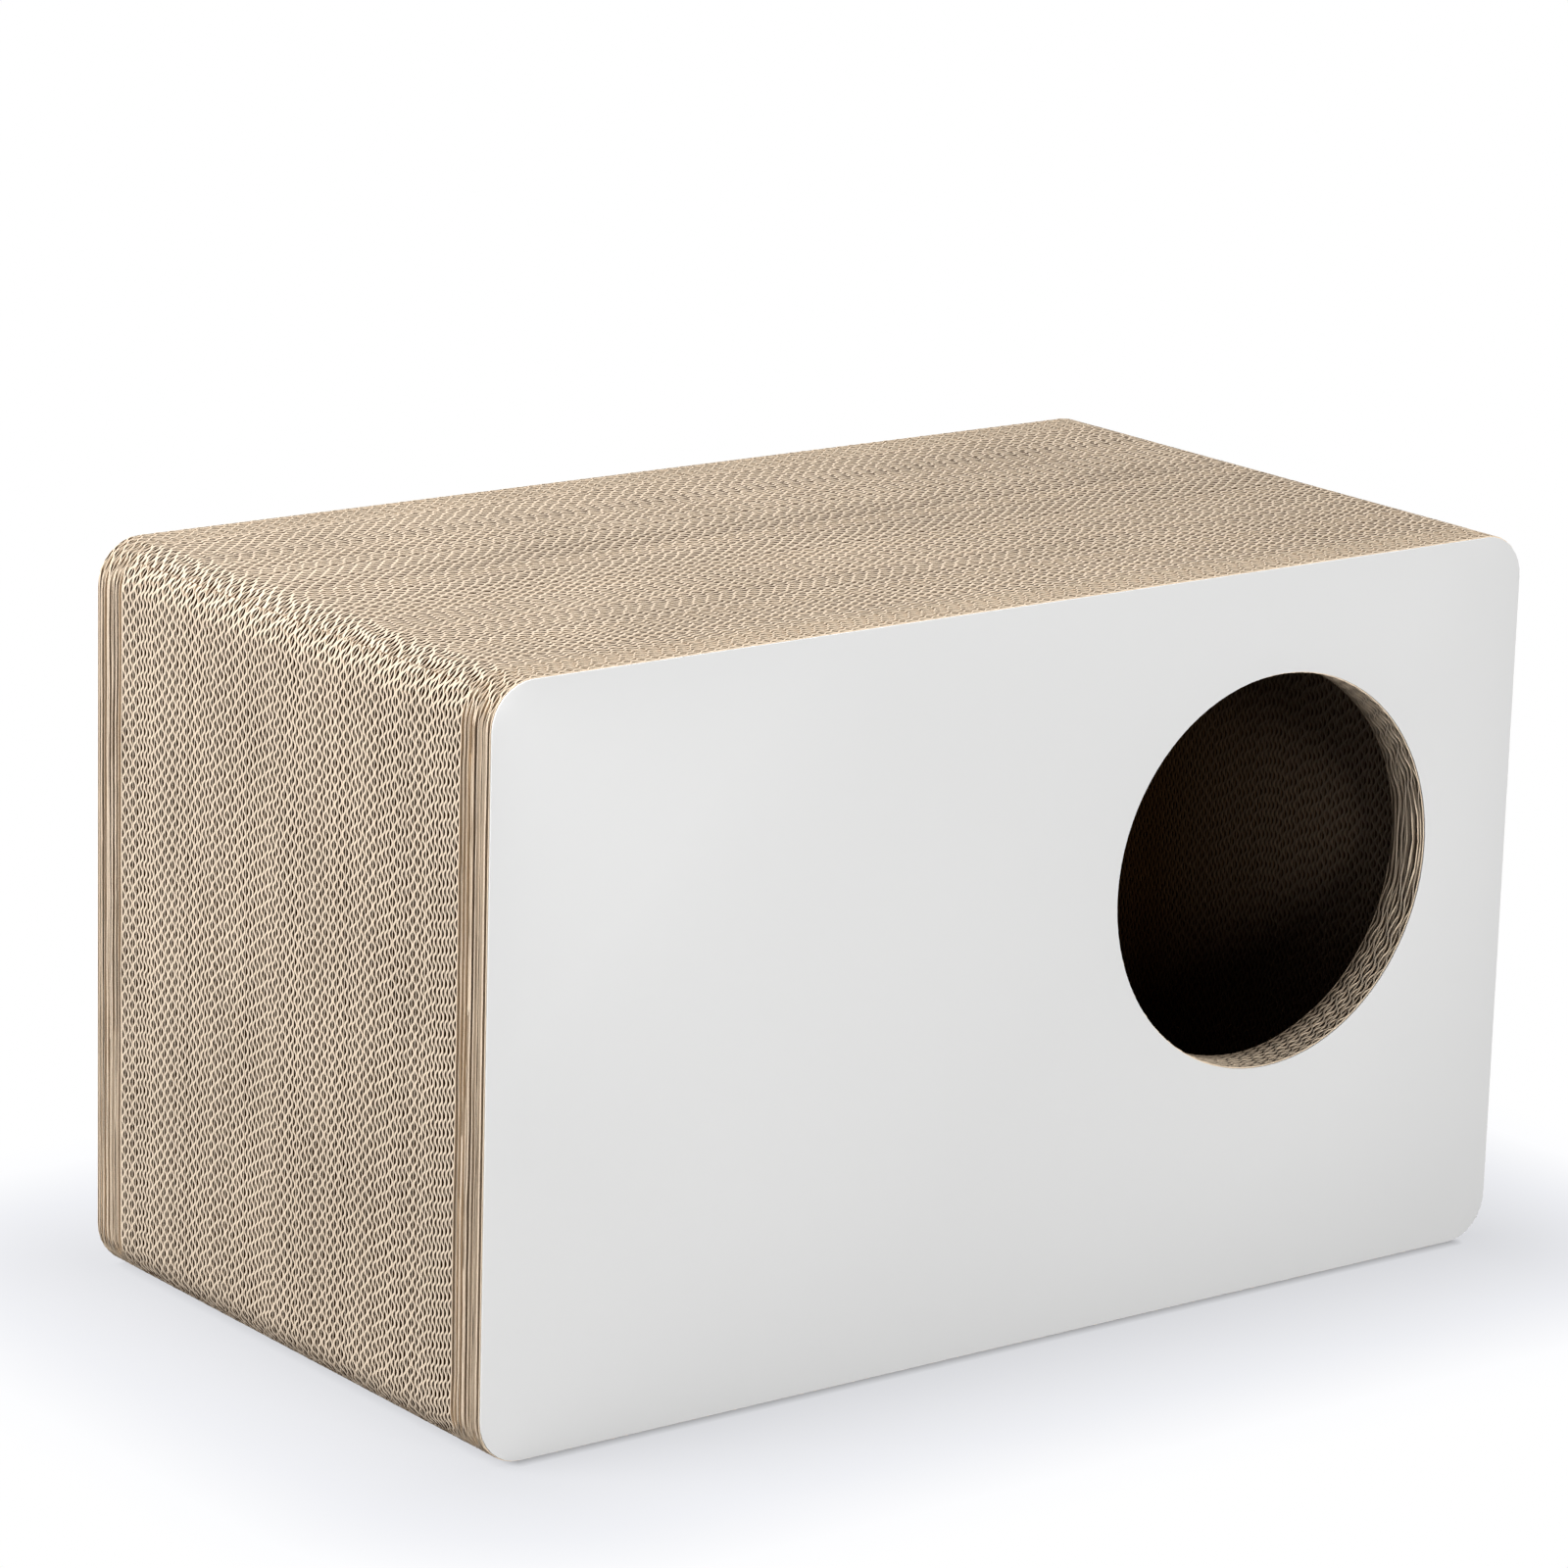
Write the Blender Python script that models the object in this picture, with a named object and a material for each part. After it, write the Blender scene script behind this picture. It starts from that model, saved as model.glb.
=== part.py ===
"""Cardboard cat house: a box of glued corrugated boards, with a round door cut through its front.

The house is stacked from front to rear. A thin white card faces the first of the full front boards, the walls
behind them are stacks of narrow strips mitred at the four corners, and full boards close the rear. X runs along
the front, the front faces -Y, Z is up, and the origin is under the middle of the house, on the floor.
"""

import math

import bpy

# Outside of the house, in metres
HOUSE_WIDTH = 0.570
HOUSE_DEPTH = 0.3067
HOUSE_HEIGHT = 0.338
CORNER_RADIUS = 0.021

# Corrugated board and the glue between two boards
BOARD_THICKNESS = 0.0027
GLUE_LINE = 0.0003
FRONT_BOARDS = 7
REAR_BOARDS = 7

# Hollow walls, whose strips are glued into stacks
WALL_THICKNESS = 0.045
WALL_STACKS = 11
MITRE_GAP = 0.0003

# White card glued on the front
CARD_THICKNESS = 0.0007
CARD_INSET = 0.0005

# Round door, by its radius and by the board left beside and above it
DOOR_RADIUS = 0.091
DOOR_SIDE_MARGIN = 0.051
DOOR_ROOF_MARGIN = 0.0494

# Facets of a quarter of an outer corner and of the whole door
CORNER_STEPS = 8
DOOR_STEPS = 72

# Colour, then roughness
WHITE_CARD = ((0.72, 0.72, 0.73), 0.45)
KRAFT_BOARD = ((0.62, 0.47, 0.33), 0.9)
KRAFT_WALL = ((0.66, 0.51, 0.36), 0.9)

# What follows from the sizes above
BOARD_PITCH = BOARD_THICKNESS + GLUE_LINE
FRONT_Y = -HOUSE_DEPTH / 2
FRONT_BOARDS_Y = FRONT_Y + CARD_THICKNESS + GLUE_LINE
WALLS_Y = FRONT_BOARDS_Y + FRONT_BOARDS * BOARD_PITCH
REAR_BOARDS_Y = HOUSE_DEPTH / 2 + GLUE_LINE - REAR_BOARDS * BOARD_PITCH
STACK_PITCH = (REAR_BOARDS_Y - WALLS_Y) / WALL_STACKS
STACK_THICKNESS = STACK_PITCH - GLUE_LINE
MIDDLE_HEIGHT = HOUSE_HEIGHT / 2
DOOR_X = HOUSE_WIDTH / 2 - DOOR_SIDE_MARGIN - DOOR_RADIUS
DOOR_Z = HOUSE_HEIGHT - DOOR_ROOF_MARGIN - DOOR_RADIUS


def clear_scene():
    for old in list(bpy.data.objects):
        bpy.data.objects.remove(old, do_unlink=True)


def finish(name, colour, roughness):
    """A plain Principled material."""
    material = bpy.data.materials.new(name)
    material.use_nodes = True
    shader = material.node_tree.nodes["Principled BSDF"]
    shader.inputs["Base Color"].default_value = (*colour, 1.0)
    shader.inputs["Roughness"].default_value = roughness
    shader.inputs["Metallic"].default_value = 0.0
    return material


def arc(centre, radius, start, end, steps):
    """Points on an arc, from the start angle to the end angle, both ends included."""
    angles = [start + (end - start) * step / steps for step in range(steps + 1)]
    return [(centre[0] + radius * math.cos(a), centre[1] + radius * math.sin(a)) for a in angles]


def board_outline(inset):
    """The house's rounded front outline about its middle, drawn in by the inset."""
    radius = CORNER_RADIUS - inset
    across = HOUSE_WIDTH / 2 - CORNER_RADIUS
    up = HOUSE_HEIGHT / 2 - CORNER_RADIUS
    corners = ((across, up), (-across, up), (-across, -up), (across, -up))
    outline = []
    for turn, centre in enumerate(corners):
        start = turn * math.pi / 2
        outline += arc(centre, radius, start, start + math.pi / 2, CORNER_STEPS)
    return outline


def door_outline(inset):
    """The door's circle about the middle of the board, wider by the inset."""
    centre = (DOOR_X, DOOR_Z - MIDDLE_HEIGHT)
    return arc(centre, DOOR_RADIUS + inset, 0, 2 * math.pi, DOOR_STEPS)[:-1]


def strip_outline(run):
    """A mitred wall strip seen along the depth: its outer face lies on y = 0, and its middle on x = 0."""
    shift = MITRE_GAP / math.sqrt(2)
    mitre = math.pi / 4 + math.asin(shift / (CORNER_RADIUS * math.sqrt(2)))
    centre = (run / 2 - CORNER_RADIUS, -CORNER_RADIUS)
    right = arc(centre, CORNER_RADIUS, math.pi / 2, mitre, CORNER_STEPS // 2)
    right.append((run / 2 - WALL_THICKNESS - shift, -WALL_THICKNESS))
    left = [(-x, y) for x, y in reversed(right)]
    return left + right


def flat_piece(name, outlines, thickness, place, lean, material, house):
    """A flat outline, with any hole as a second outline, given its thickness and stood up along the front."""
    curve = bpy.data.curves.new(name, "CURVE")
    curve.dimensions = "2D"
    curve.fill_mode = "BOTH"
    curve.extrude = thickness / 2
    for outline in outlines:
        spline = curve.splines.new("POLY")
        spline.points.add(len(outline) - 1)
        for point, (x, y) in zip(spline.points, outline):
            point.co = (x, y, 0.0, 1.0)
        spline.use_cyclic_u = True
    curve.materials.append(material)
    piece = bpy.data.objects.new(name, curve)
    piece.location = place
    piece.rotation_euler = (math.pi / 2, lean, 0.0)
    piece.parent = house["origin"]
    house["parts"].objects.link(piece)
    return piece


def front_card(house):
    """The white card, its edge set back a little from the boards' edge all round and at the door."""
    outlines = (board_outline(CARD_INSET), door_outline(CARD_INSET))
    place = (0.0, FRONT_Y + CARD_THICKNESS / 2, MIDDLE_HEIGHT)
    material = finish("white_card", *WHITE_CARD)
    flat_piece("front_face_card", outlines, CARD_THICKNESS, place, 0.0, material, house)


def boards(name, count, first_y, outlines, material, house):
    """Full boards, one behind the other, each a glue line from the next."""
    for index in range(count):
        place = (0.0, first_y + index * BOARD_PITCH + BOARD_THICKNESS / 2, MIDDLE_HEIGHT)
        flat_piece(f"{name}_{index + 1}", outlines, BOARD_THICKNESS, place, 0.0, material, house)


def walls(material, house):
    """Four walls of mitred strips, each glued up as stacks from front to rear."""
    side = HOUSE_WIDTH / 2
    sides = (
        ("left_wall", HOUSE_HEIGHT, -math.pi / 2, (-side, MIDDLE_HEIGHT)),
        ("right_wall", HOUSE_HEIGHT, math.pi / 2, (side, MIDDLE_HEIGHT)),
        ("roof", HOUSE_WIDTH, 0.0, (0.0, HOUSE_HEIGHT)),
        ("floor", HOUSE_WIDTH, math.pi, (0.0, 0.0)),
    )
    for name, run, lean, (x, z) in sides:
        outline = strip_outline(run)
        for index in range(WALL_STACKS):
            place = (x, WALLS_Y + index * STACK_PITCH + STACK_THICKNESS / 2, z)
            flat_piece(f"{name}_stack_{index + 1}", (outline,), STACK_THICKNESS, place, lean, material, house)


def main():
    clear_scene()
    parts = bpy.data.collections.new("cardboard_cat_house")
    bpy.context.scene.collection.children.link(parts)
    origin = bpy.data.objects.new("house_origin", None)
    parts.objects.link(origin)
    house = {"parts": parts, "origin": origin}

    kraft = finish("kraft_board", *KRAFT_BOARD)
    kraft_wall = finish("kraft_wall", *KRAFT_WALL)

    front_card(house)
    boards("front_board", FRONT_BOARDS, FRONT_BOARDS_Y, (board_outline(0.0), door_outline(0.0)), kraft, house)
    walls(kraft_wall, house)
    boards("rear_board", REAR_BOARDS, REAR_BOARDS_Y, (board_outline(0.0),), kraft, house)


main()
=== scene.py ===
"""Looks for the cardboard cat house: fluted boards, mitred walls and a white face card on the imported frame.

Every wall stack and every full board is made of real corrugated sheets, cut off at the outside of the house,
so the pattern of its edges comes from the mesh. Run as a script, it dresses the frame and stands it in a pale
studio.
"""

import math
import random

import bmesh
import bpy
from bpy.props import FloatProperty, FloatVectorProperty, PointerProperty
from mathutils import Matrix, Vector, noise


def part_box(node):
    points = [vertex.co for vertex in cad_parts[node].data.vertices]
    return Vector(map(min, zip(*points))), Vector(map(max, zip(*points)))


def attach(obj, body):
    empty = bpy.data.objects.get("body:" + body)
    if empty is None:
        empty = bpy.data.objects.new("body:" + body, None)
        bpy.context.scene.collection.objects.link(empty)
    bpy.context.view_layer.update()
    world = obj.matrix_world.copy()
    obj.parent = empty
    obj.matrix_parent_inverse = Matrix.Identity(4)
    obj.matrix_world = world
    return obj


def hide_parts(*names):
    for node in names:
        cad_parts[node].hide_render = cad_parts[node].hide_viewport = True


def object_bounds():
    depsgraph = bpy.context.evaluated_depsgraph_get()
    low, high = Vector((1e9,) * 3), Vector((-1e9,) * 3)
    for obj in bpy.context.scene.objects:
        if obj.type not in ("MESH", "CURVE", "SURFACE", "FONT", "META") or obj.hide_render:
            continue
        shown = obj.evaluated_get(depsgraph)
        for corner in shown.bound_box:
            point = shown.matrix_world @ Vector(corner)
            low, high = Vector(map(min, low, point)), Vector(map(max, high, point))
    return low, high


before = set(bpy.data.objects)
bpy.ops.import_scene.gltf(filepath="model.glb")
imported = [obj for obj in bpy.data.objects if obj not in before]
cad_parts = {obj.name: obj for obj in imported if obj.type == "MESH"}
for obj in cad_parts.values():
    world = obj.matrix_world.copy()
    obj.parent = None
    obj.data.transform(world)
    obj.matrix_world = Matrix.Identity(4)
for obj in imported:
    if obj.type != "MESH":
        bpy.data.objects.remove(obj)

bl_info = {
    "name": "Cardboard cat house",
    "version": (1, 0, 0),
    "blender": (4, 5, 0),
    "location": "View3D > Sidebar > Cat House",
    "description": "Dresses the packed cat house in fluted board and white card, in a pale studio",
    "category": "Add Mesh",
}

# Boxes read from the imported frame
HOUSE_LOW, HOUSE_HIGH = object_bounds()
CARD_LOW, CARD_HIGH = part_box("front_face_card")
FRONT_LOW, FRONT_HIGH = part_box("front_board_1")
SECOND_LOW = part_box("front_board_2")[0]
REAR_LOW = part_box("rear_board_1")[0]
ROOF_LOW, ROOF_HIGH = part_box("roof_stack_1")
NEXT_ROOF_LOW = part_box("roof_stack_2")[0]

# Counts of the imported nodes
FRONT_BOARDS = 7
REAR_BOARDS = 7
WALL_STACKS = 11
STRIPS_PER_STACK = 8

# A wave of fluted paper, with broad crests and straight flanks: where it is bent, as a share of the wave, and
# how high it is there, as a share of the crest
BENDS = ((-0.16, 0.7), (0.0, 1.0), (0.16, 0.7), (0.34, -0.7), (0.5, -1.0), (0.66, -0.7))
WAVE = 0.00718

# Faces of a rounded corner and of the door, length of one along a cut edge, and the angle of a sharp edge
CORNER_FACETS = 5
BOARD_CORNER_FACETS = 8
DOOR_FACETS = 90
EDGE_STEP = 0.008
SHARP_ANGLE = math.radians(35.0)

# Places nearer than TOUCH are one, lines nearer than LEVEL are level, and longer edges than these get steps
TOUCH = 1e-6
LEVEL = 1e-5
LONG_OUTLINE = 0.1
LONG_FLUTE = 0.05

# Walls by name, how far each is turned from the roof round the depth, and the seed of its flutes
WALLS = (("roof", 0.0, 3), ("left_wall", 90.0, 5), ("floor", 180.0, 7), ("right_wall", 270.0, 11))

# Seeds of the full boards, and how far apart the seeds of two sets are
FRONT_SEED = 17
REAR_SEED = 23
SEED_STEP = 100

# Half of the glue line between two boards, how far flutes run on before they are cut, how far the crests in
# the walls press into the liners, and how thick a wall's liner is made, as a share of its place
HALF_GLUE = 0.00015
OVER_RUN = 0.01
PRESS = 0.00005
LINER_FIT = 0.98

# Unevenness of the flutes: its strength, how fast it changes along a sheet, and how much two sheets differ
WALL_SHIFT = (0.0006, 28.0, 400.0)
WALL_SAG = (0.1, 150.0, 700.0)
BOARD_SHIFT = (0.0004, 30.0, 400.0)

# Height of a strip's flutes, lean of a board's flutes, and the part of a wave within which a bend is moved
# onto the door's side
TALL = (0.97, 1.03)
LEAN = 0.012
DOOR_SNAP = 12

# How much the steps from board to board differ where they are alike, and how much the waves are stretched
STEP_SPREAD = 0.06
STRETCH_SPREAD = 0.002

# Stray of the stack along the depth: how far in it is full, its slow and its quick rate, the offset and the
# share of the quick one, and its strength
STRAY_FADE = 0.012
STRAY_SLOW = 32.0
STRAY_QUICK = 95.0
STRAY_OFFSET = Vector((7.0, 3.0, 5.0))
STRAY_SHARE = 0.45
STRAY_STRENGTH = 1.6

# Sway of one sheet of a full board: its waves by rate and share, and how much two sheets differ
SWAYS = ((40.0, 0.9), (110.0, 0.5))
SWAY_APART = 900.0

# How far the shade inside the flutes reaches, and how open a face is where it starts and where it is full
SHADE_REACH = 0.004
FLUTE_SHADE = (0.52, 0.18)
BOARD_SHADE = (0.48, 0.12)
LINER_SHADE = (0.66, 0.34)

# How far behind the outside the cabin's shade starts, by axis, how many times as far it is full, how strong
# it is by the front and at the rear, and how far in it is at its strongest
CABIN = (0.022, 0.011, 0.022)
CABIN_FULL = 1.9
CABIN_SHADE = (0.66, 1.0)
CABIN_DEPTH = 0.19

# Paper: how much its tone changes, scale and share of its fibres and of its clouds, the part of their noise
# that counts, strength and depth of its grain, and how dark the flute lines on a board are
PAPER_TONE = 0.12
FIBRES = (1100.0, 0.55)
CLOUDS = (14.0, 0.45)
NOISE_SPREAD = (0.3, 0.7)
PAPER_GRAIN = (0.25, 0.0002)
STRIPES = 0.1

# Card: roughness of its face and of its edge and how much that changes, scale of its clouds and how dim they
# are, scale of its grain and its strength and depth, how much brighter its edge is made as a painted
# highlight, up to what, and its bevel
CARD_ROUGHNESS = 0.42
CARD_EDGE_ROUGHNESS = 0.5
ROUGHNESS_SPREAD = 0.06
CARD_CLOUDS = 9.0
CARD_DIM = 0.985
CARD_GRAIN_SCALE = 2400.0
CARD_GRAIN = (0.08, 0.0001)
EDGE_HIGHLIGHT_LIFT = 1.13
EDGE_HIGHLIGHT_CAP = 0.93
CARD_BEVEL = 0.00018

# Places of the cut edges and of the liners among a piece's materials
CUT_EDGE = 1
LINER = 2

# Foot of the house without its rounded corners, how far beyond it the floor turns white, its shade starts and
# its painted cool shadow tint ends, that painted shadow tint, and the floor's size
FOOT = (HOUSE_HIGH.x - 0.02, HOUSE_HIGH.y, 0.0)
WHITE_FADE = (-0.27, 0.138)
FOOT_FADE = (-0.006, 0.006)
SHADOW_TINT_FADE = (0.085, 0.17)
FLOOR_SHADOW_TINT = (0.955, 0.964, 1.0, 1.0)
WHITE = (1.0, 1.0, 1.0, 1.0)
FLOOR_RADIUS = 12.0

# Lamps by place and size, and the place that they aim at
KEY_LAMP = ((-1.9, 0.65, 2.2), 1.4)
FILL_LAMP = ((0.0, -2.6, 0.58), 0.8)
TOP_LAMP = ((0.1, 0.3, 3.0), 1.8)
LAMP_AIM = Vector((0.0, 0.0, 0.15))


class HouseShape(bpy.types.PropertyGroup):
    """Sizes that the boards are cut to."""

    corner_radius: FloatProperty(
        name="Corner radius",
        description="Outer corners",
        default=0.021,
        unit="LENGTH",
    )
    door_radius: FloatProperty(name="Door radius", description="Round door", default=0.091, unit="LENGTH")
    door_x: FloatProperty(name="Door across", description="Middle of the door", default=0.143, unit="LENGTH")
    door_z: FloatProperty(name="Door height", description="Middle of the door", default=0.1976, unit="LENGTH")
    wall: FloatProperty(
        name="Wall thickness",
        description="From the outside of a wall to its inside",
        default=ROOF_HIGH.z - ROOF_LOW.z,
        unit="LENGTH",
    )
    mitre_gap: FloatProperty(
        name="Mitre gap",
        description="Left open between two mitred strips",
        default=0.00012,
        precision=5,
        unit="LENGTH",
    )


class BoardMake(bpy.types.PropertyGroup):
    """How the corrugated board is made."""

    pitch: FloatProperty(
        name="Board pitch",
        description="From one board to the next",
        default=SECOND_LOW.y - FRONT_LOW.y,
        precision=5,
        unit="LENGTH",
    )
    liner: FloatProperty(
        name="Liners",
        description="Two liners glued back to back",
        default=0.00045,
        precision=5,
        unit="LENGTH",
    )
    medium: FloatProperty(
        name="Medium",
        description="The fluted sheet between two liners",
        default=0.00095,
        precision=5,
        unit="LENGTH",
    )
    board_medium: FloatProperty(
        name="Medium of full boards",
        description="The same sheet in the full boards",
        default=0.00062,
        precision=5,
        unit="LENGTH",
    )
    wave: FloatProperty(
        name="Wave",
        description="From crest to crest, across the flutes",
        default=WAVE,
        precision=5,
        unit="LENGTH",
    )
    alike: FloatProperty(
        name="Alike",
        description="Share of boards whose flutes step on as before",
        default=0.3,
    )
    wander: FloatProperty(
        name="Wander",
        description="How far the glued boards stray from flat",
        default=0.00035,
        precision=5,
        unit="LENGTH",
    )
    ragged: FloatProperty(
        name="Ragged cut",
        description="Unevenness of the cut edges",
        default=0.0002,
        precision=5,
        unit="LENGTH",
    )


class HouseFinish(bpy.types.PropertyGroup):
    """Colours of the paper and the card."""

    kraft: FloatVectorProperty(
        name="Kraft",
        description="Faces of the flutes in the walls",
        default=(0.71, 0.53, 0.36),
        subtype="COLOR",
    )
    board: FloatVectorProperty(
        name="Board",
        description="Faces and flutes of the full boards",
        default=(0.93, 0.75, 0.565),
        subtype="COLOR",
    )
    # The liners' dark colour is painted shade, standing for the shade in the holes between the flutes.
    liner: FloatVectorProperty(
        name="Liner",
        description="Faces of the flat sheets between the flutes",
        default=(0.20, 0.11, 0.055),
        subtype="COLOR",
    )
    # This colour is painted shade: it is mixed in deep inside the flutes and on the cabin's own faces.
    painted_shade: FloatVectorProperty(
        name="Hollow",
        description="Paper deep inside the flutes",
        default=(0.08, 0.04, 0.015),
        subtype="COLOR",
    )
    cut_edge: FloatVectorProperty(
        name="Cut edge",
        description="Edges of the paper",
        default=(0.83, 0.685, 0.53),
        subtype="COLOR",
    )
    card: FloatVectorProperty(
        name="Card",
        description="White laminated face",
        default=(0.755, 0.755, 0.75),
        subtype="COLOR",
    )


class Studio(bpy.types.PropertyGroup):
    """Camera and light."""

    camera_place: FloatVectorProperty(
        name="Camera place",
        description="Where the camera stands",
        default=(-1.70111, -2.19958, 0.95308),
        subtype="TRANSLATION",
    )
    azimuth: FloatProperty(
        name="Azimuth",
        description="Turn of the view from straight ahead",
        default=math.radians(37.4249),
        subtype="ANGLE",
    )
    elevation: FloatProperty(
        name="Elevation",
        description="How far the camera looks down",
        default=math.radians(14.7237),
        subtype="ANGLE",
    )
    roll: FloatProperty(
        name="Roll",
        description="Turn of the picture",
        default=math.radians(1.6561),
        subtype="ANGLE",
    )
    lens: FloatProperty(name="Lens", description="Focal length in millimetres", default=145.71)
    key: FloatProperty(
        name="Key light",
        description="Soft light from the left and above",
        default=114.0,
        subtype="POWER",
    )
    fill: FloatProperty(
        name="Fill light",
        description="Soft light from the front",
        default=50.5,
        subtype="POWER",
    )
    top: FloatProperty(name="Top light", description="Soft light from above", default=8.0, subtype="POWER")
    sky: FloatProperty(name="Sky", description="Light from all round", default=0.06)
    floor: FloatVectorProperty(
        name="Floor",
        description="Pale floor",
        default=(0.28, 0.28, 0.285),
        subtype="COLOR",
    )


class CatHouse(bpy.types.PropertyGroup):
    """All settings of the house."""

    shape: PointerProperty(type=HouseShape)
    board: PointerProperty(type=BoardMake)
    finish: PointerProperty(type=HouseFinish)
    studio: PointerProperty(type=Studio)


# Materials. An owner is the material or the world that a node is added to

def node(owner, kind, **values):
    """A shader node, with its own settings by name."""
    made = owner.node_tree.nodes.new(kind)
    for name, value in values.items():
        setattr(made, name, value)
    return made


def math_node(owner, operation, first, second):
    """A Math node on two sockets or numbers."""
    made = node(owner, "ShaderNodeMath", operation=operation)
    for socket, value in zip(made.inputs, (first, second)):
        if isinstance(value, (int, float)):
            socket.default_value = value
        else:
            owner.node_tree.links.new(value, socket)
    return made.outputs[0]


def vector_node(owner, operation, first, second=(0.0, 0.0, 0.0)):
    """The outputs of a Vector Math node on a socket and a plain vector."""
    made = node(owner, "ShaderNodeVectorMath", operation=operation)
    owner.node_tree.links.new(first, made.inputs[0])
    made.inputs[1].default_value = second
    return made.outputs


def blend_colours(owner, amount, first, second):
    """A Mix node on two colours, each a socket or a plain colour."""
    made = node(owner, "ShaderNodeMix", data_type="RGBA")
    owner.node_tree.links.new(amount, made.inputs["Factor"])
    for name, value in (("A", first), ("B", second)):
        socket = [entry for entry in made.inputs if entry.name == name and entry.type == "RGBA"][0]
        if isinstance(value, tuple):
            socket.default_value = value
        else:
            owner.node_tree.links.new(value, socket)
    return [entry for entry in made.outputs if entry.type == "RGBA"][0]


def ramp(owner, amount, low, high, start=0.0, end=1.0):
    """The amount spread from start at low to end at high."""
    made = node(owner, "ShaderNodeMapRange")
    for name, value in (("From Min", low), ("From Max", high), ("To Min", start), ("To Max", end)):
        made.inputs[name].default_value = value
    owner.node_tree.links.new(amount, made.inputs["Value"])
    return made.outputs["Result"]


def speckle(owner, places, scale, detail):
    """Noise in object space, about 0.5 on average."""
    made = node(owner, "ShaderNodeTexNoise")
    made.inputs["Scale"].default_value = scale
    made.inputs["Detail"].default_value = detail
    owner.node_tree.links.new(places, made.inputs["Vector"])
    return made.outputs["Fac"]


def seen_rays(owner):
    """1 for rays that show a background directly or by gloss or glass, and 0 for rays that carry light."""
    path = node(owner, "ShaderNodeLightPath").outputs
    seen = math_node(owner, "MAXIMUM", path["Is Camera Ray"], path["Is Glossy Ray"])
    return math_node(owner, "MAXIMUM", seen, path["Is Transmission Ray"])


def surface(name, colour, gloss):
    """A new material, its Principled shader and its Object coordinates."""
    material = bpy.data.materials.new(name)
    material.use_nodes = True
    shader = material.node_tree.nodes["Principled BSDF"]
    shader.inputs["Base Color"].default_value = (*colour, 1.0)
    shader.inputs["Specular IOR Level"].default_value = gloss
    return material, shader, node(material, "ShaderNodeTexCoord").outputs["Object"]


def add_grain(material, shader, height, strength, distance):
    """Fine bumps on the whole surface."""
    bump = node(material, "ShaderNodeBump")
    bump.inputs["Strength"].default_value = strength
    bump.inputs["Distance"].default_value = distance
    material.node_tree.links.new(height, bump.inputs["Height"])
    material.node_tree.links.new(bump.outputs["Normal"], shader.inputs["Normal"])


def cabin_shade(material, places):
    """How deep the shade is on the cabin's own faces, and 0 near the outside of the house."""
    parts = node(material, "ShaderNodeSeparateXYZ")
    material.node_tree.links.new(places, parts.inputs[0])
    middle = (HOUSE_LOW + HOUSE_HIGH) / 2
    within = []
    for part, centre, low, high in zip(parts.outputs, middle, CABIN, HOUSE_HIGH):
        away = math_node(material, "ABSOLUTE", math_node(material, "SUBTRACT", part, centre), 0.0)
        within.append(ramp(material, away, high - centre - low, high - centre - low * CABIN_FULL))
    within = math_node(material, "MINIMUM", math_node(material, "MINIMUM", *within[:2]), within[2])
    deeper = ramp(material, parts.outputs[1], FRONT_HIGH.y, FRONT_HIGH.y + CABIN_DEPTH)
    deeper = math_node(material, "MULTIPLY", deeper, CABIN_SHADE[1] - CABIN_SHADE[0])
    return math_node(material, "MULTIPLY", within, math_node(material, "ADD", deeper, CABIN_SHADE[0]))


def paper(name, colour, painted_shade_colour, stripes=0.0, shade=None):
    """Kraft paper: fibres, slow changes of tone, and painted shade deep inside the flutes and in the cabin.
    """
    material, shader, places = surface(name, colour, 0.03)
    shader.inputs["Roughness"].default_value = 0.92
    links = material.node_tree.links
    fibre = speckle(material, places, FIBRES[0], 3.0)
    cloud = speckle(material, places, CLOUDS[0], 3.0)
    light = tuple(min(1.0, value * (1.0 + PAPER_TONE)) for value in colour) + (1.0,)
    dark = tuple(value * (1.0 - PAPER_TONE) for value in colour) + (1.0,)
    amount = math_node(material, "MULTIPLY", fibre, FIBRES[1])
    amount = math_node(material, "ADD", amount, math_node(material, "MULTIPLY", cloud, CLOUDS[1]))
    plain = blend_colours(material, ramp(material, amount, *NOISE_SPREAD), dark, light)
    if stripes:
        parts = node(material, "ShaderNodeSeparateXYZ")
        links.new(places, parts.inputs[0])
        turn = math_node(material, "MULTIPLY", parts.outputs[0], 2.0 * math.pi / WAVE)
        band = math_node(material, "SINE", turn, 0.0)
        striped = tuple(value * (1.0 - stripes) for value in colour) + (1.0,)
        amount = math_node(material, "MULTIPLY", ramp(material, band, -1.0, 1.0), 0.5)
        plain = blend_colours(material, amount, plain, striped)
    # The dark colour mixed in below is painted shade, by place in the cabin and by ambient occlusion in the
    # flutes.
    shaded = cabin_shade(material, places)
    if shade:
        open_sky = node(material, "ShaderNodeAmbientOcclusion", samples=8, only_local=True)
        open_sky.inputs["Distance"].default_value = SHADE_REACH
        shaded = math_node(material, "MAXIMUM", shaded, ramp(material, open_sky.outputs["AO"], *shade))
    links.new(blend_colours(material, shaded, plain, (*painted_shade_colour, 1.0)), shader.inputs["Base Color"])
    add_grain(material, shader, fibre, *PAPER_GRAIN)
    return material


def satin_card(name, colour, roughness):
    """White laminated card: nearly even, with a faint grain in its gloss."""
    material, shader, places = surface(name, colour, 0.4)
    links = material.node_tree.links
    cloud = speckle(material, places, CARD_CLOUDS, 2.0)
    grain = speckle(material, places, CARD_GRAIN_SCALE, 2.0)
    dim = tuple(value * CARD_DIM for value in colour) + (1.0,)
    links.new(blend_colours(material, cloud, dim, (*colour, 1.0)), shader.inputs["Base Color"])
    spread = ramp(material, grain, 0.0, 1.0, roughness - ROUGHNESS_SPREAD, roughness + ROUGHNESS_SPREAD)
    links.new(spread, shader.inputs["Roughness"])
    add_grain(material, shader, grain, *CARD_GRAIN)
    return material


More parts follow.
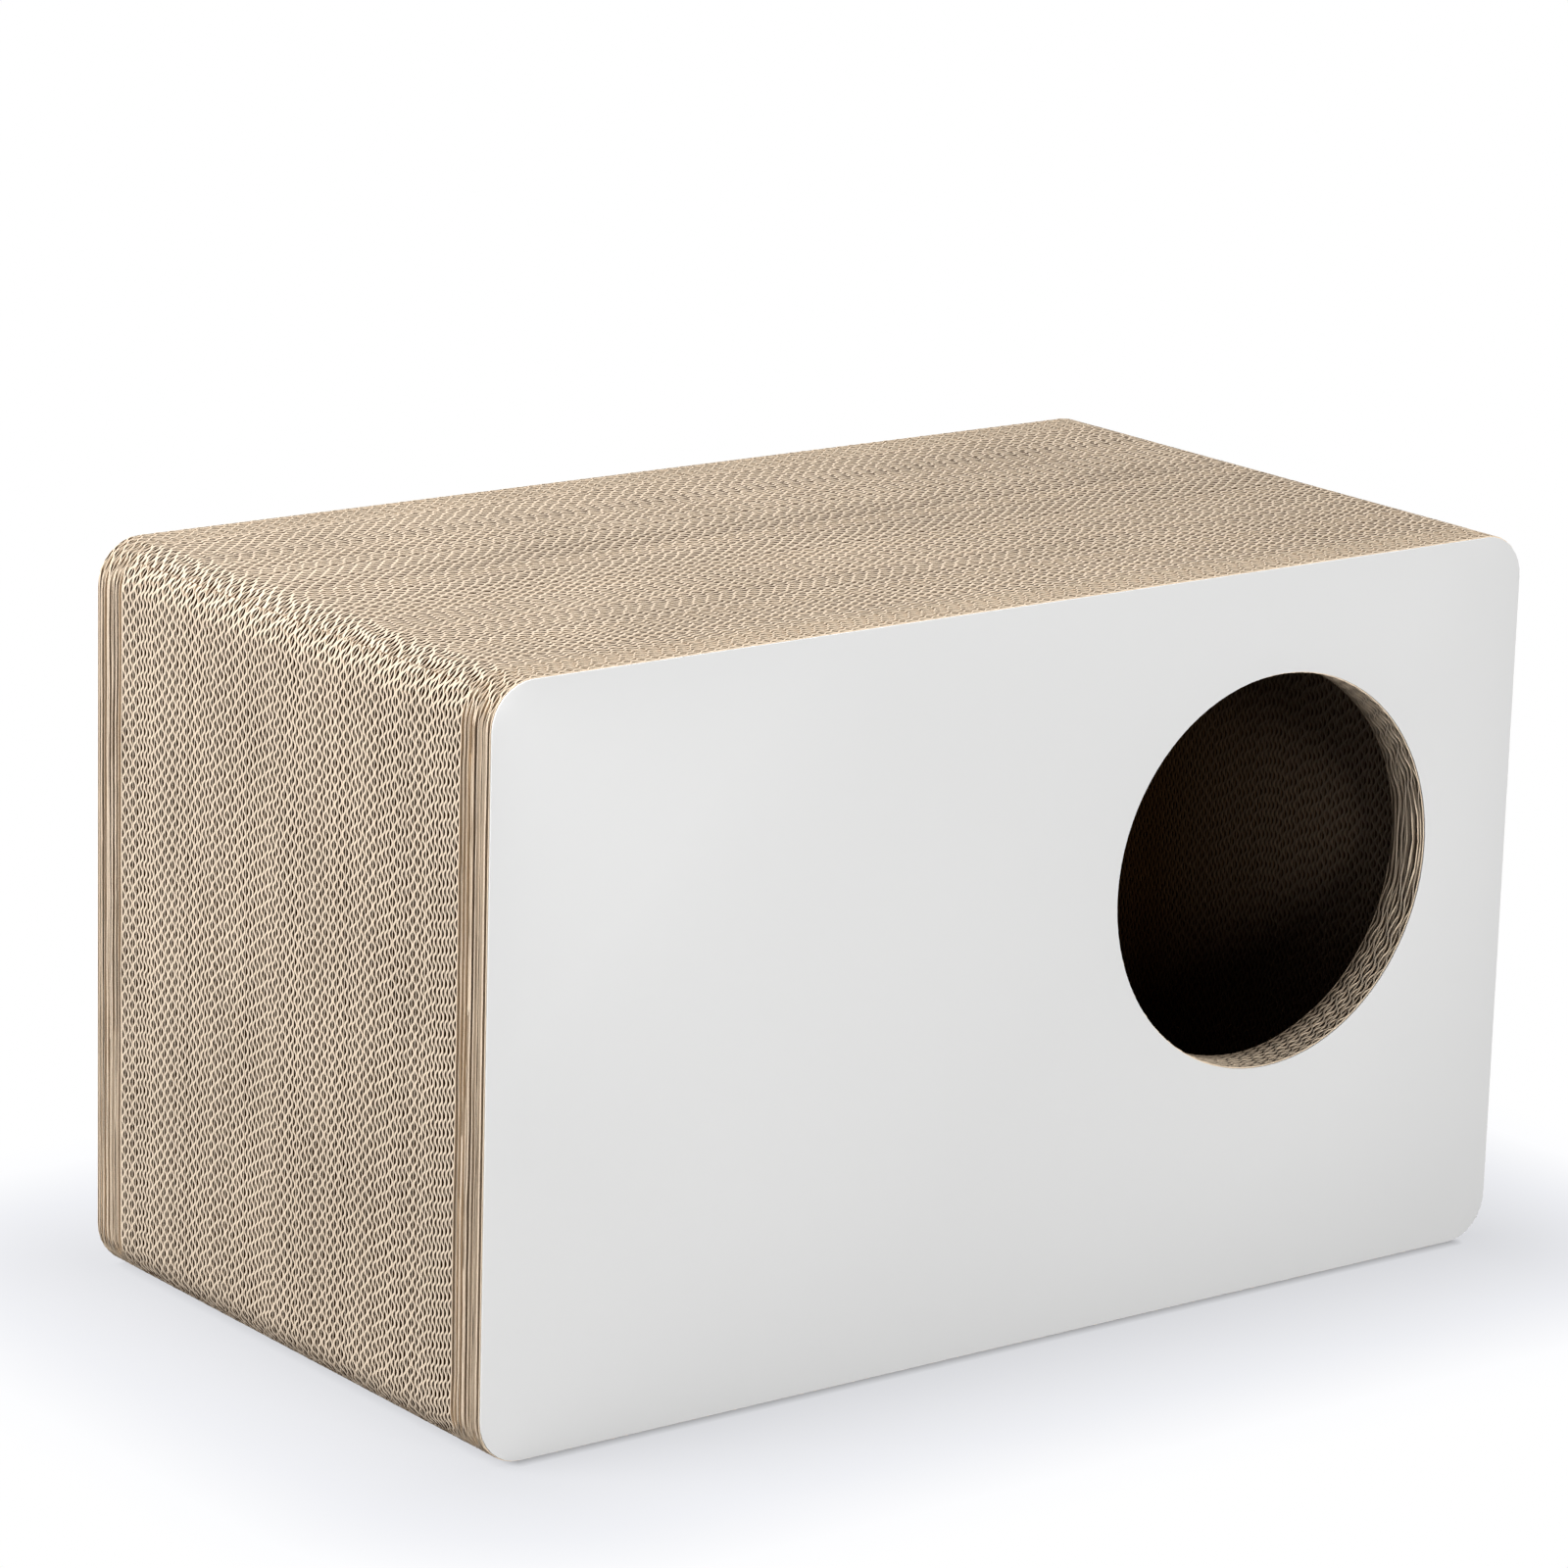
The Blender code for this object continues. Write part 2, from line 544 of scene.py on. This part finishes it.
def pale_floor(name, colour):
    """Plain floor that keeps the shadow and a painted cool shadow tint by the house, and turns white away
    from it.
    """
    material, shader, places = surface(name, colour, 0.0)
    shader.inputs["Roughness"].default_value = 0.9
    links = material.node_tree.links
    away = vector_node(material, "ABSOLUTE", places)["Vector"]
    past = vector_node(material, "SUBTRACT", away, FOOT)["Vector"]
    beyond = vector_node(material, "MAXIMUM", past)["Vector"]
    reach = vector_node(material, "LENGTH", beyond)["Value"]
    near = ramp(material, reach, *FOOT_FADE)
    far = math_node(material, "MULTIPLY", ramp(material, reach, *WHITE_FADE), near)
    white = node(material, "ShaderNodeEmission")
    # The cool tint close to the house is a painted shadow on the floor's white.
    shadow_tint = blend_colours(material, ramp(material, reach, *SHADOW_TINT_FADE), FLOOR_SHADOW_TINT, WHITE)
    links.new(shadow_tint, white.inputs["Color"])
    white.inputs["Strength"].default_value = 1.0
    mix = node(material, "ShaderNodeMixShader")
    links.new(math_node(material, "MULTIPLY", far, seen_rays(material)), mix.inputs["Fac"])
    links.new(shader.outputs["BSDF"], mix.inputs[1])
    links.new(white.outputs["Emission"], mix.inputs[2])
    links.new(mix.outputs["Shader"], material.node_tree.nodes["Material Output"].inputs["Surface"])
    return material


def kept(name, make, *values, **options):
    """The material of that name, made the first time it is asked for."""
    return bpy.data.materials.get(name) or make(name, *values, **options)


def wall_papers(house):
    """Flute paper, its cut edges and the liners, whose dark colour is painted shade, for the walls."""
    finish = house.finish
    painted_shade = tuple(finish.painted_shade)
    flutes = kept("wall_flute_paper", paper, tuple(finish.kraft), painted_shade, shade=FLUTE_SHADE)
    edges = kept("wall_cut_edge", paper, tuple(finish.cut_edge), painted_shade)
    liners = kept("wall_liner_paper", paper, tuple(finish.liner), painted_shade, shade=LINER_SHADE)
    return flutes, edges, liners


def board_papers(house):
    """Board faces with faint flute lines and painted shade, and their cut edges, for the full boards."""
    finish = house.finish
    painted_shade = tuple(finish.painted_shade)
    faces = kept("board_face_paper", paper, tuple(finish.board), painted_shade, stripes=STRIPES, shade=BOARD_SHADE)
    edges = kept("board_cut_edge", paper, tuple(finish.cut_edge), painted_shade)
    return faces, edges


# Mesh tools

def trim(bm, point, direction):
    """Cuts off everything beyond a plane."""
    everything = bm.verts[:] + bm.edges[:] + bm.faces[:]
    bmesh.ops.bisect_plane(
        bm, geom=everything, dist=TOUCH, plane_co=point, plane_no=direction, clear_outer=True
    )


def trim_round(bm, middle, radius, start, end, steps):
    """Cuts a corner round, from the start angle to the end angle about the depth axis."""
    step = (end - start) / steps
    for index in range(steps):
        angle = start + (index + 0.5) * step
        edge = start + index * step
        point = middle + Vector((math.cos(edge), 0.0, math.sin(edge))) * radius
        trim(bm, point, Vector((math.cos(angle), 0.0, math.sin(angle))))


def thicken(bm, faces, thickness):
    """Gives sheets their thickness, half to each side, and returns the faces of their cut edges."""
    for vert in {vert for face in faces for vert in face.verts}:
        vert.co -= vert.normal * thickness / 2
    before = set(bm.faces)
    made = bmesh.ops.solidify(bm, geom=faces, thickness=-thickness)
    skins = {entry for entry in made["geom"] if isinstance(entry, bmesh.types.BMFace)}
    return [face for face in bm.faces if face not in before and face not in skins]


def dress(bm, name, replaced, materials):
    """Turns the mesh into a finished piece that stands for a node of the frame."""
    mesh = bpy.data.meshes.new(name)
    bm.to_mesh(mesh)
    bm.free()
    for material in materials:
        mesh.materials.append(material)
    mesh.shade_smooth()
    mesh.set_sharp_from_angle(angle=SHARP_ANGLE)
    piece = bpy.data.objects.new(name, mesh)
    bpy.context.scene.collection.objects.link(piece)
    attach(piece, "root")
    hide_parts(replaced)
    return piece


def stray(place, board):
    """How far the glue lets a point of the stack stray along the depth: none at the front and rear."""
    edge = min(place.y - FRONT_LOW.y, HOUSE_HIGH.y - place.y)
    fade = max(0.0, min(1.0, edge / STRAY_FADE))
    slow = noise.noise(place * STRAY_SLOW)
    quick = noise.noise(place * STRAY_QUICK + STRAY_OFFSET)
    return board.wander * fade * (slow + STRAY_SHARE * quick) * STRAY_STRENGTH


def sway(place, layer, board):
    """How far one sheet of a full board strays from its own layer."""
    total = 0.0
    for rate, share in SWAYS:
        total += share * noise.noise(Vector((place.x * rate, layer * SWAY_APART, place.z * rate)))
    return board.wander * total


def uneven(errors, along, across, seed):
    """A smooth error, by its strength and by how fast it changes along and across."""
    strength, rate, apart = errors
    return strength * noise.noise(Vector((along * rate, across * apart, seed)))


def fluted_sheet(bm, run, wave, phase, rows, lay):
    """A fluted sheet from a flat grid. lay(along, height, row) gives the place of each of its points."""
    start = -run / 2 - OVER_RUN
    end = run / 2 + OVER_RUN
    waves = math.ceil((end - start) / wave) + 1
    columns = waves * len(BENDS)
    made = bmesh.ops.create_grid(bm, x_segments=columns, y_segments=rows, size=0.5)
    for vert in made["verts"]:
        turn, bend = divmod(round((vert.co.x + 0.5) * columns), len(BENDS))
        along = start + (turn + phase - 1.0 + BENDS[bend][0]) * wave
        height = BENDS[bend][1]
        vert.co = lay(along, height, round((vert.co.y + 0.5) * rows))
    return {face for vert in made["verts"] for face in vert.link_faces}


# Pieces

def wall_stack(house, wall, index, phases):
    """Eight mitred strips of a wall, glued face to face, as the roof first and then turned to their side."""
    name, turn, seed = wall
    board = house.board
    shape = house.shape
    size = HOUSE_HIGH - HOUSE_LOW
    run, rise = (size.x, size.z) if turn in (0.0, 180.0) else (size.z, size.x)
    first = ROOF_LOW.y + index * (NEXT_ROOF_LOW.y - ROOF_LOW.y) - (NEXT_ROOF_LOW.y - ROOF_HIGH.y) / 2
    chance = random.Random(seed * SEED_STEP + index)
    bm = bmesh.new()
    crest = (board.pitch - board.liner - board.medium) / 2 + PRESS

    for strip in range(STRIPS_PER_STACK):
        middle = first + (strip + 0.5) * board.pitch
        phase, stretch = phases[index * STRIPS_PER_STACK + strip]
        sunk = chance.uniform(0.0, board.ragged)
        tall = crest * chance.uniform(*TALL)

        def lay(along, height, row):
            bent = along + uneven(WALL_SHIFT, along, middle, seed)
            flat = 1.0 - max(0.0, uneven(WALL_SAG, along, middle, seed))
            return Vector((bent, middle + tall * flat * height, -shape.wall if row else -sunk))

        fluted_sheet(bm, run, board.wave * stretch, phase, 1, lay)

    for strip in range(STRIPS_PER_STACK + 1):
        inset = board.liner / 4 if strip == 0 else -board.liner / 4 if strip == STRIPS_PER_STACK else 0.0
        middle = first + strip * board.pitch + inset
        steps = round(run / EDGE_STEP)
        sunk = chance.uniform(0.0, board.ragged)
        made = bmesh.ops.create_grid(bm, x_segments=steps, y_segments=1, size=0.5)
        for vert in made["verts"]:
            vert.co = Vector((vert.co.x * run, middle, -sunk if vert.co.y > 0 else -shape.wall))
        for face in {face for vert in made["verts"] for face in vert.link_faces}:
            face.material_index = LINER

    gap = shape.mitre_gap / 2
    for side in (1, -1):
        tip = Vector((side * (run / 2 - gap * math.sqrt(2.0)), 0.0, 0.0))
        trim(bm, tip, Vector((side, 0.0, -1.0)).normalized())
        middle = Vector((side * (run / 2 - shape.corner_radius), 0.0, -shape.corner_radius))
        end = math.pi / 2 - side * math.pi / 4
        trim_round(bm, middle, shape.corner_radius, math.pi / 2, end, CORNER_FACETS)

    turned = Matrix.Rotation(math.radians(-turn), 4, "Y")
    bm.transform(turned @ Matrix.Translation((0.0, 0.0, rise / 2)))
    bm.transform(Matrix.Translation((0.0, 0.0, (HOUSE_LOW.z + HOUSE_HIGH.z) / 2)))
    for vert in bm.verts:
        vert.co.y += stray(vert.co, board)
    bm.normal_update()

    flutes = [face for face in bm.faces if face.material_index != LINER]
    liners = [face for face in bm.faces if face.material_index == LINER]
    edges = thicken(bm, flutes, board.medium)
    edges += thicken(bm, liners, board.liner * LINER_FIT)
    bmesh.ops.reverse_faces(bm, faces=bm.faces[:])
    for face in edges:
        face.material_index = CUT_EDGE
    dress(bm, f"{name}_stack_{index + 1}_fluted", f"{name}_stack_{index + 1}", wall_papers(house))


def flute_phases(seed, board, count):
    """Where the flutes of each board start: by chance, or stepping on like the board before."""
    chance = random.Random(seed)
    phase = chance.random()
    step = chance.random()
    phases = []
    for _ in range(count):
        phases.append((phase % 1.0, 1.0 + chance.gauss(0.0, STRETCH_SPREAD)))
        if chance.random() < board.alike:
            step += chance.gauss(0.0, STEP_SPREAD)
        else:
            step = chance.random()
        phase += step
    return phases


def rounded_sheet(bm, inset, shape, depth, door):
    """A flat sheet with the house's rounded outline, with the round door cut out of it if asked."""
    size = HOUSE_HIGH - HOUSE_LOW
    made = bmesh.ops.create_grid(bm, x_segments=1, y_segments=1, size=0.5)
    for vert in made["verts"]:
        across = vert.co.x * (size.x - 2 * inset)
        up = vert.co.y * (size.z - 2 * inset) + size.z / 2
        vert.co = Vector((across, depth, up))
    bmesh.ops.bevel(
        bm,
        geom=made["verts"],
        offset=shape.corner_radius - inset,
        segments=BOARD_CORNER_FACETS,
        profile=0.5,
        affect="VERTICES",
        material=-1,
    )
    face = [entry for entry in bm.faces if abs(entry.calc_center_median().y - depth) < TOUCH][-1]
    for edge in list(face.edges):
        if edge.calc_length() > LONG_OUTLINE:
            cuts = round(edge.calc_length() / EDGE_STEP) - 1
            bmesh.ops.subdivide_edges(bm, edges=[edge], cuts=cuts)
    outline = list(face.edges)
    if door:
        bmesh.ops.delete(bm, geom=[face], context="FACES_ONLY")
        place = Matrix.Translation((shape.door_x, depth, shape.door_z))
        ring = bmesh.ops.create_circle(
            bm,
            cap_ends=False,
            segments=DOOR_FACETS,
            radius=shape.door_radius + inset,
            matrix=place @ Matrix.Rotation(math.pi / 2, 4, "X"),
        )
        outline += list({edge for vert in ring["verts"] for edge in vert.link_edges})
        filled = bmesh.ops.triangle_fill(bm, use_beauty=True, edges=outline)
        return [entry for entry in filled["geom"] if isinstance(entry, bmesh.types.BMFace)]
    return bmesh.ops.triangulate(bm, faces=[face])["faces"]


def full_board(house, name, index, low, last, door, seed, phase):
    """One full board with upright flutes: two liners and the fluted sheet between them."""
    board = house.board
    shape = house.shape
    size = HOUSE_HIGH - HOUSE_LOW
    front = low + index * board.pitch
    chance = random.Random(seed * SEED_STEP + index)
    crest = (board.pitch - board.liner - board.board_medium) / 2
    middle = front + board.pitch / 2 - HALF_GLUE
    tilt = chance.uniform(-LEAN, LEAN)
    rows = 3 if door else 1
    bm = bmesh.new()

    def reach(along):
        inside = shape.door_radius ** 2 - (along - shape.door_x) ** 2
        return math.sqrt(inside) if inside > 0 else 0.0

    def lay(along, height, row):
        for edge in (shape.door_x - shape.door_radius, shape.door_x + shape.door_radius):
            if door and abs(along - edge) < board.wave / DOOR_SNAP:
                along = edge
        if door:
            up = (0.0, shape.door_z - reach(along), shape.door_z + reach(along), size.z)[row]
        else:
            up = size.z if row else 0.0
        if row in (0, rows):
            along += tilt * (up - size.z / 2)
        bent = uneven(BOARD_SHIFT, along, middle, seed)
        return Vector((along + bent, middle + crest * height, up))

    fluted_sheet(bm, size.x, board.wave, phase, rows, lay)
    if door:
        between = [face for face in bm.faces if abs(face.calc_center_median().z - shape.door_z) < LEVEL]
        bmesh.ops.delete(bm, geom=between, context="FACES_ONLY")
        bmesh.ops.remove_doubles(bm, verts=bm.verts[:], dist=TOUCH)
    for side in (1, -1):
        trim(bm, Vector((side * size.x / 2, 0.0, 0.0)), Vector((side, 0.0, 0.0)))
        for upper in (1, -1):
            across = side * (size.x / 2 - shape.corner_radius)
            up = size.z / 2 + upper * (size.z / 2 - shape.corner_radius)
            start = math.pi / 2 * upper
            end = 0.0 if side > 0 else math.pi * upper
            trim_round(bm, Vector((across, 0.0, up)), shape.corner_radius, start, end, BOARD_CORNER_FACETS)
    upright = []
    for edge in bm.edges:
        aside = abs(edge.verts[0].co.x - edge.verts[1].co.x)
        if edge.is_boundary and edge.calc_length() > LONG_FLUTE and aside < LEVEL:
            upright.append(edge)
    bmesh.ops.subdivide_edges(bm, edges=upright, cuts=round(size.z / EDGE_STEP))
    flutes = list(bm.faces)

    liners = []
    for side in (0, 1):
        outer = (index == 0 and side == 0) or (index == last and side == 1)
        thick = board.liner / 2
        depth = front - HALF_GLUE + (thick / 2 if side == 0 else board.pitch - thick / 2)
        if outer:
            depth += HALF_GLUE if side == 0 else -HALF_GLUE
        sheet = rounded_sheet(bm, chance.uniform(0.0, board.ragged), shape, depth, door)
        for vert in {vert for face in sheet for vert in face.verts}:
            if not outer:
                vert.co.y += sway(vert.co, depth, board)
        liners += sheet

    for vert in bm.verts:
        vert.co.y += stray(vert.co, board)
    for vert in {vert for face in flutes for vert in face.verts}:
        vert.co.y += sway(vert.co, middle, board)
    bm.normal_update()
    edges = thicken(bm, flutes, board.board_medium)
    edges += thicken(bm, liners, board.liner / 2)
    bmesh.ops.reverse_faces(bm, faces=bm.faces[:])
    for face in edges:
        face.material_index = CUT_EDGE
    dress(bm, f"{name}_{index + 1}_fluted", f"{name}_{index + 1}", board_papers(house))


def board_pack(house, name, count, low, door, seed):
    """A pack of full boards, one behind the other."""
    for index, (phase, _) in enumerate(flute_phases(seed, house.board, count)):
        full_board(house, name, index, low, count - 1, door, seed, phase)


class CATHOUSE_OT_face_card(bpy.types.Operator):
    """Make the white laminated card on the front, with its round door"""

    bl_idname = "cat_house.face_card"
    bl_label = "Face card"

    def execute(self, context):
        house = context.scene.cat_house
        shape = house.shape
        thick = CARD_HIGH.y - CARD_LOW.y
        bm = bmesh.new()
        sheet = rounded_sheet(bm, CARD_LOW.x - HOUSE_LOW.x, shape, CARD_LOW.y, True)
        bmesh.ops.recalc_face_normals(bm, faces=sheet)
        grown = bmesh.ops.extrude_face_region(bm, geom=sheet)
        back = [entry for entry in grown["geom"] if isinstance(entry, bmesh.types.BMVert)]
        bmesh.ops.translate(bm, vec=(0.0, thick, 0.0), verts=back)
        bmesh.ops.recalc_face_normals(bm, faces=bm.faces[:])
        sides = [face for face in bm.faces if abs(face.normal.y) < 0.5]
        for face in sides:
            face.material_index = CUT_EDGE
        middle = CARD_LOW.y + thick / 2
        around = {edge for face in sides for edge in face.edges}
        front = [edge for edge in around if max(vert.co.y for vert in edge.verts) < middle]
        bmesh.ops.bevel(
            bm,
            geom=front,
            offset=CARD_BEVEL,
            segments=2,
            profile=0.5,
            affect="EDGES",
            material=CUT_EDGE,
            clamp_overlap=True,
        )
        finish = house.finish
        white = tuple(finish.card)
        # The edge is coloured brighter than the face all round: a painted highlight.
        highlight_white = tuple(min(EDGE_HIGHLIGHT_CAP, value * EDGE_HIGHLIGHT_LIFT) for value in white)
        cards = (
            kept("white_face", satin_card, white, CARD_ROUGHNESS),
            kept("white_card_edge", satin_card, highlight_white, CARD_EDGE_ROUGHNESS),
        )
        dress(bm, "face_card_laminated", "front_face_card", cards)
        return {"FINISHED"}


class CATHOUSE_OT_front_boards(bpy.types.Operator):
    """Make the full boards behind the card, with the round door cut through them"""

    bl_idname = "cat_house.front_boards"
    bl_label = "Front boards"

    def execute(self, context):
        house = context.scene.cat_house
        board_pack(house, "front_board", FRONT_BOARDS, FRONT_LOW.y, True, FRONT_SEED)
        return {"FINISHED"}


class CATHOUSE_OT_walls(bpy.types.Operator):
    """Make the four walls of mitred strips, stack by stack"""

    bl_idname = "cat_house.walls"
    bl_label = "Walls"

    def execute(self, context):
        house = context.scene.cat_house
        for wall in WALLS:
            phases = flute_phases(wall[2], house.board, WALL_STACKS * STRIPS_PER_STACK)
            for index in range(WALL_STACKS):
                wall_stack(house, wall, index, phases)
        return {"FINISHED"}


class CATHOUSE_OT_rear_boards(bpy.types.Operator):
    """Make the full boards that close the rear"""

    bl_idname = "cat_house.rear_boards"
    bl_label = "Rear boards"

    def execute(self, context):
        house = context.scene.cat_house
        board_pack(house, "rear_board", REAR_BOARDS, REAR_LOW.y, False, REAR_SEED)
        return {"FINISHED"}


class CATHOUSE_OT_stage(bpy.types.Operator):
    """Make the pale floor, the soft light and the camera"""

    bl_idname = "cat_house.stage"
    bl_label = "Stage"

    def execute(self, context):
        studio = context.scene.cat_house.studio
        self.make_floor(context, studio)
        self.make_sky(context, studio)
        self.make_lamp(context, "key_light", *KEY_LAMP, studio.key)
        self.make_lamp(context, "fill_light", *FILL_LAMP, studio.fill)
        self.make_lamp(context, "top_light", *TOP_LAMP, studio.top)
        self.make_camera(context, studio)
        context.scene.view_settings.view_transform = "Standard"
        return {"FINISHED"}

    def make_floor(self, context, studio):
        bm = bmesh.new()
        bmesh.ops.create_circle(bm, cap_ends=True, segments=96, radius=FLOOR_RADIUS)
        mesh = bpy.data.meshes.new("studio_floor")
        bm.to_mesh(mesh)
        bm.free()
        mesh.materials.append(pale_floor("studio_floor", tuple(studio.floor)))
        floor = bpy.data.objects.new("studio_floor", mesh)
        context.scene.collection.objects.link(floor)

    def make_sky(self, context, studio):
        world = bpy.data.worlds.new("studio_sky")
        world.use_nodes = True
        background = world.node_tree.nodes["Background"]
        background.inputs["Color"].default_value = WHITE
        strength = ramp(world, seen_rays(world), 0.0, 1.0, studio.sky, 1.0)
        world.node_tree.links.new(strength, background.inputs["Strength"])
        context.scene.world = world

    def make_lamp(self, context, name, place, size, power):
        light = bpy.data.lights.new(name, "AREA")
        light.size = size
        light.energy = power
        lamp = bpy.data.objects.new(name, light)
        lamp.location = place
        lamp.rotation_euler = (LAMP_AIM - lamp.location).to_track_quat("-Z", "Y").to_euler()
        context.scene.collection.objects.link(lamp)

    def make_camera(self, context, studio):
        lens = bpy.data.cameras.new("studio_camera")
        lens.lens = studio.lens
        lens.sensor_width = 36.0
        lens.clip_start = 0.05
        camera = bpy.data.objects.new("studio_camera", lens)
        turn = Matrix.Rotation(-studio.azimuth, 4, "Z")
        tilt = Matrix.Rotation(math.pi / 2 - studio.elevation, 4, "X")
        aim = turn @ tilt @ Matrix.Rotation(studio.roll, 4, "Z")
        camera.matrix_world = Matrix.Translation(studio.camera_place) @ aim
        context.scene.collection.objects.link(camera)
        context.scene.camera = camera


class CATHOUSE_PT_panel(bpy.types.Panel):
    """Lists the pieces of the house and the stage."""

    bl_label = "Cat House"
    bl_idname = "CATHOUSE_PT_panel"
    bl_space_type = "VIEW_3D"
    bl_region_type = "UI"
    bl_category = "Cat House"

    def draw(self, context):
        house = context.scene.cat_house
        for operator in OPERATORS:
            self.layout.operator(operator.bl_idname)
        for group in (house.shape, house.board, house.finish, house.studio):
            box = self.layout.box()
            for name in group.__annotations__:
                box.prop(group, name)


OPERATORS = (
    CATHOUSE_OT_face_card,
    CATHOUSE_OT_front_boards,
    CATHOUSE_OT_walls,
    CATHOUSE_OT_rear_boards,
    CATHOUSE_OT_stage,
)
CLASSES = (HouseShape, BoardMake, HouseFinish, Studio, CatHouse, *OPERATORS, CATHOUSE_PT_panel)


def register():
    for entry in CLASSES:
        bpy.utils.register_class(entry)
    bpy.types.Scene.cat_house = PointerProperty(type=CatHouse)


def unregister():
    del bpy.types.Scene.cat_house
    for entry in reversed(CLASSES):
        bpy.utils.unregister_class(entry)


def main():
    """Dresses the frame piece by piece."""
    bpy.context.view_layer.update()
    register()
    bpy.ops.cat_house.face_card()
    bpy.ops.cat_house.front_boards()
    bpy.ops.cat_house.walls()
    bpy.ops.cat_house.rear_boards()
    bpy.ops.cat_house.stage()


if __name__ == "__main__":
    main()
